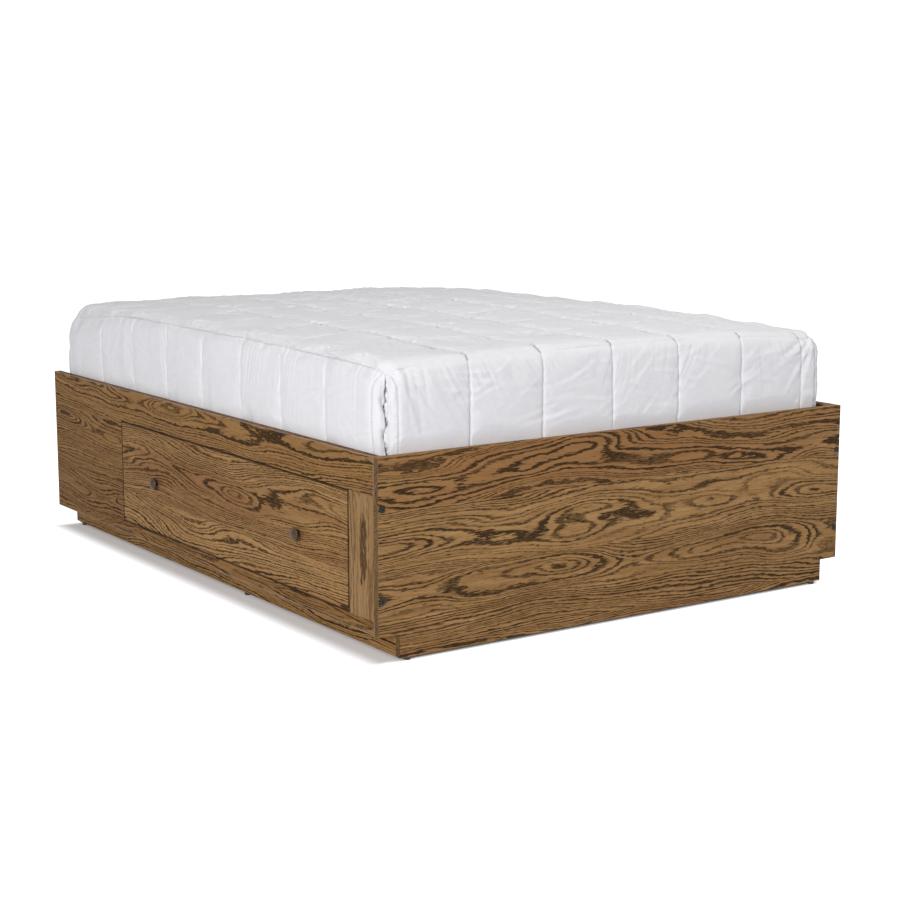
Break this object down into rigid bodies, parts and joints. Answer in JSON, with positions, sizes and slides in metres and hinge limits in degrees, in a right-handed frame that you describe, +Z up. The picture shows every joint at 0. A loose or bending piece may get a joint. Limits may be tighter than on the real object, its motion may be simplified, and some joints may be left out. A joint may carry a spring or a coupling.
{
  "type": "platform bed with storage drawers",
  "caption": "Platform bed in brown oak with a wide flush storage drawer in each long side on full-extension slides, a slatted deck, a mattress and a white quilted comforter.",
  "frame": {"origin": "on the floor under the middle of the bed", "axes": "+X to the right seen from the foot end, +Y from the foot end to the head end, +Z up"},
  "size_m": [1.677, 2.0774, 0.7942],
  "materials": {
    "oak": "satin",
    "drawer_wood": "satin",
    "plywood": "matte",
    "pine": "matte",
    "black_steel": "satin",
    "zinc_steel": "satin",
    "dark_plastic": "matte",
    "mattress_fabric": "matte",
    "comforter_fabric": "matte"
  },
  "bodies": {
    "frame": {"foot_panel": "oak", "foot_panel_bolts": "black_steel", "barrel_nuts": "zinc_steel", "glides": "dark_plastic", "head_toe_kick": "oak", "centre_plinth": "pine", "centre_spine": "plywood", "head_rail": "oak", "corner_blocks": "pine", "slats": "pine", "slat_screws": "zinc_steel", "cleat_screws": "zinc_steel", "cabinet_slide_screws": "zinc_steel", "left_side_panel": "oak", "left_end_stile": "oak", "left_toe_kick": "oak", "left_floor": "plywood", "left_cleat": "pine", "left_foot_bulkhead": "plywood", "left_foot_cabinet_slide": "zinc_steel", "left_head_bulkhead": "plywood", "left_head_cabinet_slide": "zinc_steel", "right_side_panel": "oak", "right_end_stile": "oak", "right_toe_kick": "oak", "right_floor": "plywood", "right_cleat": "pine", "right_foot_bulkhead": "plywood", "right_foot_cabinet_slide": "zinc_steel", "right_head_bulkhead": "plywood", "right_head_cabinet_slide": "zinc_steel"},
    "left_drawer": {"left_drawer_front": "oak", "left_box_front": "drawer_wood", "left_box_back": "drawer_wood", "left_drawer_bottom": "plywood", "left_knobs": "oak", "left_knob_screws": "zinc_steel", "left_front_screws": "zinc_steel", "left_drawer_slide_screws": "zinc_steel", "left_box_foot_side": "drawer_wood", "left_foot_drawer_slide": "zinc_steel", "left_box_head_side": "drawer_wood", "left_head_drawer_slide": "zinc_steel"},
    "left_slide_middle": {"left_middle_slides": "zinc_steel"},
    "right_drawer": {"right_drawer_front": "oak", "right_box_front": "drawer_wood", "right_box_back": "drawer_wood", "right_drawer_bottom": "plywood", "right_knobs": "oak", "right_knob_screws": "zinc_steel", "right_front_screws": "zinc_steel", "right_drawer_slide_screws": "zinc_steel", "right_box_foot_side": "drawer_wood", "right_foot_drawer_slide": "zinc_steel", "right_box_head_side": "drawer_wood", "right_head_drawer_slide": "zinc_steel"},
    "right_slide_middle": {"right_middle_slides": "zinc_steel"},
    "bedding": {"mattress": "mattress_fabric", "comforter": "comforter_fabric"}
  },
  "joints": [
    {"name": "left_drawer_slide", "type": "slide", "parent": "frame", "child": "left_drawer", "axis": [-1, 0, 0], "range_m": [0, 0.56]},
    {"name": "left_middle_slide", "type": "slide", "parent": "frame", "child": "left_slide_middle", "axis": [-1, 0, 0], "range_m": [0, 0.28]},
    {"name": "right_drawer_slide", "type": "slide", "parent": "frame", "child": "right_drawer", "axis": [1, 0, 0], "range_m": [0, 0.56]},
    {"name": "right_middle_slide", "type": "slide", "parent": "frame", "child": "right_slide_middle", "axis": [1, 0, 0], "range_m": [0, 0.28]},
    {"name": "bedding_lift", "type": "slide", "parent": "frame", "child": "bedding", "axis": [0, 0, 1], "range_m": [0, 0.3]}
  ],
  "couplings": [
    {"joint": "left_middle_slide", "follows": "left_drawer_slide", "ratio": 0.5},
    {"joint": "right_middle_slide", "follows": "right_drawer_slide", "ratio": 0.5}
  ]
}
